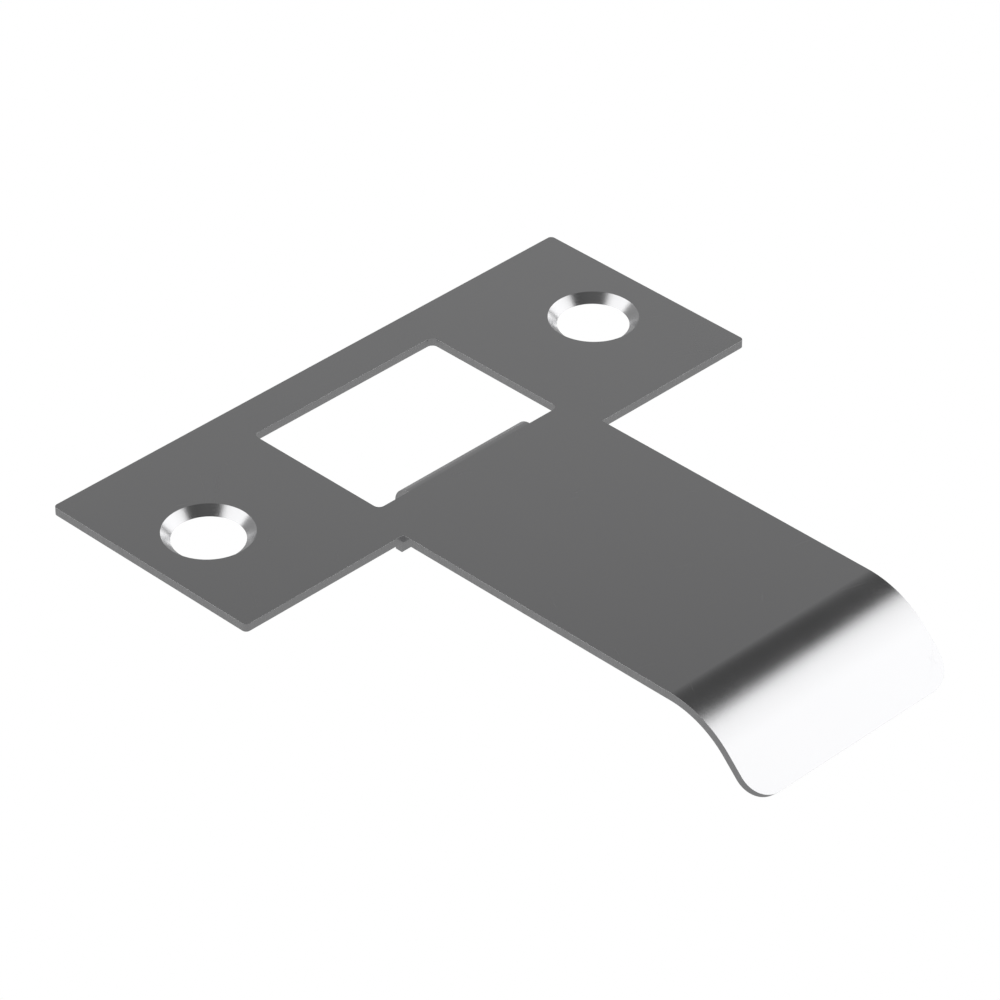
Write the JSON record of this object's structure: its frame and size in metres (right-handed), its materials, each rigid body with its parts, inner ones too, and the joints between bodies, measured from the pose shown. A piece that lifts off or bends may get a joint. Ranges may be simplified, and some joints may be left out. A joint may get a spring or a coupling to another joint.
{
  "type": "extended lip strike plate",
  "caption": "T-shaped strike plate of sheet steel with countersunk screw holes, a latch window with a turned-down flange, and a long lip whose end curves down.",
  "frame": {"origin": "centre of the face plate between the two screw holes, on its back face, the face that seats on the door frame", "axes": "+X along the plate's length from screw hole to screw hole, +Y away from the lip (the lip points to -Y), +Z out of the plate's visible face"},
  "size_m": [0.0698, 0.0752, 0.0078],
  "materials": {
    "sheet_steel": "satin stainless steel, smooth, with softly mirrored surroundings"
  },
  "bodies": {
    "root": {"strike_plate": "sheet_steel"}
  },
  "joints": []
}
